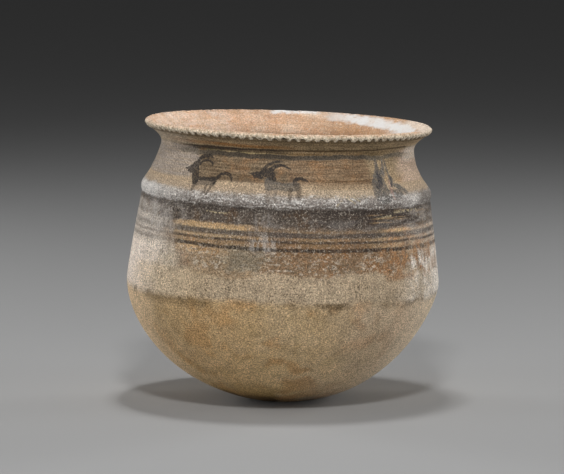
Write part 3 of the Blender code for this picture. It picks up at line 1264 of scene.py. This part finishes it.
@dataclass(frozen=True)
class BurialCrust:
    """Lime, rust and grit that stuck to the jar while it lay buried.

    The lime is chalky and hides the paint, most of all on the shoulder and at
    both sides of the belly. The rust and grit only stain the clay. The dark line in the
    groove under the shoulder is painted shade.
    """

    on: JarPatterns

    def ridge(self) -> Iterator[Layer]:
        """Return the grey and white crust of the shoulder.

        Returns:
            The layers, the first two the belly's rust and the wall's left film.
        """
        on = self.on
        rusty = on.mottle(7.5, 0.44, 0.56, stretch=(1, 1, 0.6), detail=4)
        rust = on.all_of(rusty, on.arc(62, 112, 5))
        ridge = on.ragged_belt(143, 151.5, 1.5)
        ends = on.any_of(on.arc(-200, -72, 14), on.arc(82, 103, 8))
        fibres = on.mottle(1.5, 0.5, 0.63, stretch=(0.22, 0.22, 1), detail=4)
        left_film = on.ragged_belt(121, 141, 2), on.arc(-110, -66, 8), on.mottle(9, 0.4, 0.62)
        yield "a97a4f", 0.75, on.all_of(rust, on.ragged_belt(95, 117, 2))
        yield "b3aca5", 0.5, *left_film
        yield "c3bcb5", 0.65, ridge, ends
        yield "dcd8d3", 0.6, ridge, on.arc(-200, -94, 8)
        yield "dcd6cf", 0.68, ridge, fibres
        yield "e6e1da", 0.85, ridge, on.mottle(1.35, 0.53, 0.66, detail=3)
        yield "655d55", 0.6, ridge, on.arc(106, 170, 7)

    def belly(self) -> Iterator[Layer]:
        """Return the lime that ran down the wall and lies on the belly.

        Returns:
            The layers, the last two a light dust over all.
        """
        on = self.on
        smear = on.arc(-18, -9, 3)
        drips = on.mottle(3, 0.4, 0.62, stretch=(1, 1, 0.25), detail=4)
        crusted = on.ragged_belt(80, 113, 4)
        runs = on.mottle(6, 0.43, 0.62, stretch=(1, 1, 0.5), detail=5)
        rusty = on.mottle(7.5, 0.44, 0.56, stretch=(1, 1, 0.6), detail=4)
        far_right = on.all_of(on.arc(110, 400, 10), on.arc(-400, 182, 36))
        far_left = on.all_of(on.arc(-400, -91, 13), on.arc(-186, 400, 36))
        streaked = on.any_of(on.all_of(runs, on.arc(86, 150, 6)), far_right)
        stained = on.all_of(on.arc(100, 130, 6), on.ragged_belt(97, 116, 3), rusty)
        dust = on.mottle(1.35, 0.53, 0.66, detail=3)
        yield "c6c0b9", 0.25, on.ragged_belt(112, 141, 3), smear, drips
        yield "ccc6be", 0.3, on.ragged_belt(114, 124, 3), smear, drips
        yield "ddd2c1", 0.35, crusted, on.arc(-102, -62, 14)
        yield "f9e9da", 0.97, crusted, far_left
        yield "f8efe4", 0.86, crusted, on.all_of(streaked, on.belt(74, 116, 5))
        yield "a87d55", 0.55, stained
        yield "cfc4b4", 0.4, dust, on.belt(112, 142, 2)
        yield "dccbae", 0.55, dust, on.ragged_belt(82, 114, 2)

    def grit(self) -> Iterator[Layer]:
        """Return the specks between grains, the worn belly edge, pits, scratches and a line of
        painted shade in the groove under the shoulder.

        Returns:
            The layers.
        """
        on = self.on
        grains = on.ragged_belt(80, 99, 3)
        specks = on.all_of(on.mottle(1.35, 0.52, 0.62, detail=3), on.mottle(12, 0.36, 0.62))
        specks = on.without(specks, on.arc(-190, -92, 12), 0.6)
        clumps = on.mottle(7, 0.5, 0.62, stretch=(0.6, 0.6, 1), detail=4)
        pits = on.drawn(Figure.DARK_PITS, on.around, 1.5)
        scratches = on.drawn(Figure.PALE_SCRATCHES, on.around, 0.4)
        yield "cdb593", 0.5, grains, on.arc(-112, -46, 12)
        yield "d9ccbb", 0.4, grains, on.arc(74, 116, 10)
        yield "584630", 0.8, specks, on.ragged_belt(80, 114, 2.5)
        yield "665338", 0.55, on.ragged_belt(76, 81.5, 1.6), clumps
        yield "6a5638", 0.4, on.ragged_belt(74, 80, 2), on.arc(-96, -40, 8)
        yield "5a4831", 0.72, pits, on.mottle(1.6, 0.32, 0.52)
        # A dark line in the groove under the shoulder ridge: painted shade.
        yield "453c34", 0.5, on.belt(142.2, 143.6, 0.5), on.mottle(6, 0.4, 0.6)
        yield "cdbb94", 0.55, scratches, on.mottle(2.2, 0.4, 0.54)

    def lime(self, inside: Socket) -> Iterator[Layer]:
        """Return the thick, even lime at the back of the inner wall.

        Args:
            inside: Where the inner wall shows.

        Returns:
            The layers.
        """
        on = self.on
        add = on.sheet.add
        slope = add("Math", (on.around, -0.058, 195), operation="MULTIPLY_ADD")
        height = on.shaken(add("Math", (on.level, slope), operation="ADD"), (6, 5))
        low_end = on.all_of(
            on.between(height, 366.2, 373.6, 1.4), on.between(on.around, 120, 190, 16)
        )
        patch = on.any_of(on.between(height, 368.2, 373.6, 1.4), low_end)
        back = on.any_of(on.arc(262, 300, 5), on.arc(-300, -272, 4))
        edge = on.all_of(on.ragged_belt(190.6, 200, 0.9), back)
        cover = on.any_of(on.all_of(patch, on.arc(138, 246, 16)), edge)
        cover = on.all_of(cover, inside)
        yield "e4e3e0", 0.72, cover, on.mottle(3, 0.18, 0.46, detail=3)
        yield "e1e2e1", 0.6, cover, on.mottle(9, 0.28, 0.56)


@dataclass(frozen=True)
class BareRim:
    """Unpainted clay of the notched lip and the inner wall, pale and stained, with painted
    light and shade at the lip: a highlight on its crest, shade under it, shadow in its gaps.
    """

    on: JarPatterns

    def lip(self) -> Iterator[Layer]:
        """Return the lip's pale lumps and gaps, with a painted highlight along its crest, painted
        shade just under it and painted shadow in the gaps.

        Here the numbers of between are distances over the lip from its inner edge.

        Returns:
            The layers.
        """
        on = self.on
        cut = on.sheet.add("Math", (on.gap, 1, on.along), operation="MULTIPLY_ADD")
        lumps = on.between(on.shaken(cut, (5, 3), (1.6, 2.6)), 4.7, 7.7, 0.7)
        edge = on.between(on.along, -0.5, 5.8, 0.8)
        # A pale streak along the lip's crest, in patches: painted highlight.
        yield "dccdb6", 0.5, on.between(on.along, 2.2, 4.8, 0.7), on.mottle(5, 0.42, 0.6, detail=3)
        # A dark band just under the lip: partly the flare's darker clay, partly painted shade
        # under the lip.
        yield "57462f", 0.62, on.between(on.along, 7, 11, 1.5)
        yield "dfd1ba", 0.97, lumps
        yield "796346", 0.75, lumps, on.mottle(1.7, 0.49, 0.6)
        yield "8a755a", 0.6, edge, on.mottle(1.8, 0.5, 0.6)
        # Dark at the top of each notch gap: painted shadow under the lip's overhang.
        yield "30261a", 0.95, on.gap, on.between(on.along, 5.9, 7.9, 0.6)

    def inside(self) -> tuple[Socket, Socket]:
        """Return the inner wall.

        Returns:
            Its colour, and the mask of where it shows.
        """
        on = self.on
        mask = on.between(on.along, -900, 4.2, 1)
        upper = on.belt(168, 200, 8)
        streaks = on.mottle(1.8, 0.45, 0.62, stretch=(0.06, 0.06, 1))
        tones = {0: upper, 6: linear("ab8d6c"), 7: linear("d0b298")}
        clay = on.sheet.add("Mix", tones, output=2, data_type="RGBA")
        layers = (
            ("d9c0a8", 0.6, on.mottle(17, 0.44, 0.6)),
            ("c19370", 0.5, on.mottle(23, 0.48, 0.64)),
            ("dcc5b4", 0.6, on.arc(-250, -90, 30), upper, on.mottle(8, 0.38, 0.6)),
            ("b47c56", 0.35, on.mottle(3.2, 0.55, 0.68), upper),
            ("a87d55", 0.6, on.arc(150, 256, 20), upper),
            ("b98d64", 0.35, streaks, upper),
            ("ddcfbd", 0.45, on.mottle(1.5, 0.57, 0.68), upper),
            ("e2d5c6", 0.7, on.arc(104, 190, 8), on.belt(188.5, 200, 0.8)),
        )
        return on.stacked(clay, layers), mask


@dataclass(frozen=True)
class PaintedEarthenware:
    """Buff earthenware, turned, burnished at the neck, painted, and long buried.

    The clay is matt and dusty with sand grains up to 2 mm that stand out where
    the surface is worn. The burnished neck keeps a faint sheen and fine level
    streaks. The brown-black paint has sunk in and is speckled with bare clay.
    A pale lime crust lies in the hollows, on the shoulder and inside the rim.
    Silt and dust are too fine to show, so no grain is drawn finer than 0.85 mm.
    """

    shape: JarShape
    around_radius: float = 90
    roughness: float = 0.92
    burnished_roughness: float = 0.66
    specular: float = 0.3
    grain_size: float = 1.05
    sand_size: float = 0.85
    grit_size: float = 2

    def colour(self, on: JarPatterns) -> Socket:
        """Return the whole surface's colour, with its grain.

        Args:
            on: The patterns of the jar.

        Returns:
            The colour seen from outside.
        """
        add = on.sheet.add
        clay, paint, crust, rim = BareClay(on), SunkenPaint(on), BurialCrust(on), BareRim(on)
        inner, mask = rim.inside()
        layers = chain(
            clay.washes(),
            paint.bands(),
            paint.bushes(),
            crust.ridge(),
            crust.belly(),
            paint.figures(),
            crust.grit(),
        )
        outside = on.stacked(clay.ground(), layers)
        both = add("Mix", {0: mask, 6: outside, 7: inner}, output=2, data_type="RGBA")
        both = on.stacked(both, rim.lip())
        # The grain darkens and lightens the clay, most of all outside.
        shade = on.spread(on.cloud(self.grain_size, detail=3), 0.66, 1.34)
        tint = on.spread(on.cloud(11, detail=3), 0.88, 1.12)
        sand = on.spread(on.cloud(self.sand_size, detail=1), -0.5, 0.5)
        sand = add("Math", (sand, on.without(1, mask), 1), operation="MULTIPLY_ADD")
        grained = add("VectorMath", {0: both, 3: on.all_of(shade, tint, sand)}, operation="SCALE")
        return on.stacked(grained, crust.lime(mask))

    def relief(self, on: JarPatterns) -> Socket:
        """Return the fine relief, of grain, the belly's grit and level streaks.

        Args:
            on: The patterns of the jar.

        Returns:
            The surface's normal, from a height in mm.
        """
        add = on.sheet.add
        grain = on.all_of(on.cloud(self.grain_size, detail=3), 0.35)
        grit = on.all_of(on.cloud(self.grit_size, detail=3), on.belt(78, 114, 3))
        streaks = on.cloud(1.4, stretch=LEVEL_STREAKS)
        streaks = on.all_of(streaks, on.belt(112, 190, 4), 0.2)
        height = add("Math", (grain, grit), operation="ADD")
        height = add("Math", (height, streaks), operation="ADD")
        return add("Bump", {"Height": height, "Distance": MILLIMETRE, "Strength": 1})

    def material(self) -> bpy.types.Material:
        """Return the jar's whole surface as one material.

        Returns:
            Matt clay with a faint sheen on the burnished front of the neck.
        """
        material = bpy.data.materials.new("fired_clay_painted_earthenware")
        material.use_nodes = True
        sheet = NodeSheet(material.node_tree)
        on = JarPatterns(sheet, self.shape, self.around_radius)
        burnish = on.all_of(on.belt(157, 176, 2), on.between(on.around, -66, 64, 8))
        roughness = {0: burnish, 3: self.roughness, 4: self.burnished_roughness}
        shader = material.node_tree.nodes["Principled BSDF"]
        shader.inputs["Specular IOR Level"].default_value = self.specular
        for name, socket in (
            ("Base Color", self.colour(on)),
            ("Roughness", sheet.add("MapRange", roughness)),
            ("Normal", self.relief(on)),
        ):
            material.node_tree.links.new(socket, shader.inputs[name])
        return material


@dataclass(frozen=True)
class StudioPaper:
    """Matt grey studio paper, which takes soft shadows and gives no gloss back."""

    tone: str = "9d9d9d"
    roughness: float = 0.95
    specular: float = 0.2

    def material(self) -> bpy.types.Material:
        """Return the paper's material.

        Returns:
            One even tone, as the floor is no part of the jar.
        """
        material = bpy.data.materials.new("matt_grey_studio_paper")
        material.use_nodes = True
        shader = material.node_tree.nodes["Principled BSDF"]
        shader.inputs["Base Color"].default_value = linear(self.tone)
        shader.inputs["Roughness"].default_value = self.roughness
        shader.inputs["Specular IOR Level"].default_value = self.specular
        return material


@dataclass(frozen=True)
class SoftBox:
    """One soft light, in metres and watts."""

    name: str
    place: Triple
    size: Pair
    power: float
    aim: Triple = (0.0, 0.0, 0.1)

    def hang(self) -> None:
        """Hang the light at its place and point it at its aim."""
        data = bpy.data.lights.new(self.name, "AREA")
        data.shape = "RECTANGLE"
        data.size, data.size_y = self.size
        data.energy = self.power
        light = bpy.data.objects.new(self.name, data)
        light.location = self.place
        facing = Vector(self.aim) - Vector(self.place)
        light.rotation_euler = facing.to_track_quat("-Z", "Y").to_euler()
        bpy.context.scene.collection.objects.link(light)


@dataclass(frozen=True)
class Studio:
    """Plain pale floor, soft lights and the camera, sizes in metres."""

    lens: float = 255.3
    sensor_width: float = 36.0
    look_down: float = math.radians(6.5)
    distance: float = 2.748
    aim_height: float = 0.11139
    side_shift: float = -3.8 / 564
    farthest_view: float = 200.0
    floor_side: float = 60.0
    paper: StudioPaper = StudioPaper()
    room_tone: Colour = (0.6, 0.6, 0.6, 1.0)
    room_strength: float = 0.1
    soft_boxes: tuple[SoftBox, ...] = (
        SoftBox("overhead", (0.0, 0.03, 1.15), (0.12, 0.12), 5.2, (0.0, 0.0, 0.0)),
        SoftBox("front", (0.0, -1.20, 1.12), (0.18, 0.18), 10.9),
        SoftBox("front_soft", (0.0, -1.9, 0.3), (1.2, 0.5), 6.8),
        SoftBox("side_left", (-1.5, -0.3, 0.6), (0.6, 0.9), 3.3),
        SoftBox("side_right", (1.5, -0.3, 0.6), (0.6, 0.9), 3.8),
        SoftBox("hind_left", (-1.25, 0.95, 0.4), (0.35, 0.6), 9.0),
        SoftBox("hind_right", (1.25, 0.95, 0.4), (0.35, 0.6), 9.0),
    )

    def set_camera(self) -> None:
        """Put the camera where the photograph was taken from."""
        data = bpy.data.cameras.new("camera")
        data.lens = self.lens
        data.sensor_width = self.sensor_width
        data.sensor_fit = "HORIZONTAL"
        data.shift_x = self.side_shift
        data.clip_end = self.farthest_view
        camera = bpy.data.objects.new("camera", data)
        camera.location = (
            0.0,
            -self.distance * math.cos(self.look_down),
            self.aim_height + self.distance * math.sin(self.look_down),
        )
        camera.rotation_euler = (math.pi / 2 - self.look_down, 0.0, 0.0)
        bpy.context.scene.collection.objects.link(camera)
        bpy.context.scene.camera = camera

    def lay_floor(self) -> None:
        """Lay the plain floor that the jar stands on."""
        floor = bmesh.new()
        bmesh.ops.create_grid(floor, x_segments=1, y_segments=1, size=self.floor_side / 2)
        mesh = bpy.data.meshes.new("floor")
        floor.to_mesh(mesh)
        floor.free()
        mesh.materials.append(self.paper.material())
        stage = bpy.data.objects.new("floor", mesh)
        bpy.context.scene.collection.objects.link(stage)

    def light(self) -> None:
        """Hang the soft boxes and give the room its dim, even fill."""
        for soft_box in self.soft_boxes:
            soft_box.hang()
        room = bpy.data.worlds.new("room")
        room.use_nodes = True
        fill = room.node_tree.nodes["Background"]
        fill.inputs["Color"].default_value = self.room_tone
        fill.inputs["Strength"].default_value = self.room_strength
        bpy.context.scene.world = room
        bpy.context.scene.view_settings.view_transform = "Standard"

    def build(self) -> None:
        """Set the floor, the lights and the camera."""
        self.lay_floor()
        self.light()
        self.set_camera()


def main() -> None:
    """Build the jar, then the studio round it, and log the jar's triangle count."""
    logging.basicConfig(level=logging.INFO, format="%(name)s: %(message)s")
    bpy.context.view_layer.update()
    jar = TurnedJar().build()
    jar.data.calc_loop_triangles()
    LOG.info("jar_clay: %d triangles", len(jar.data.loop_triangles))
    Studio().build()
    LOG.info("studio: floor, soft boxes and camera set")


if __name__ == "__main__":
    main()
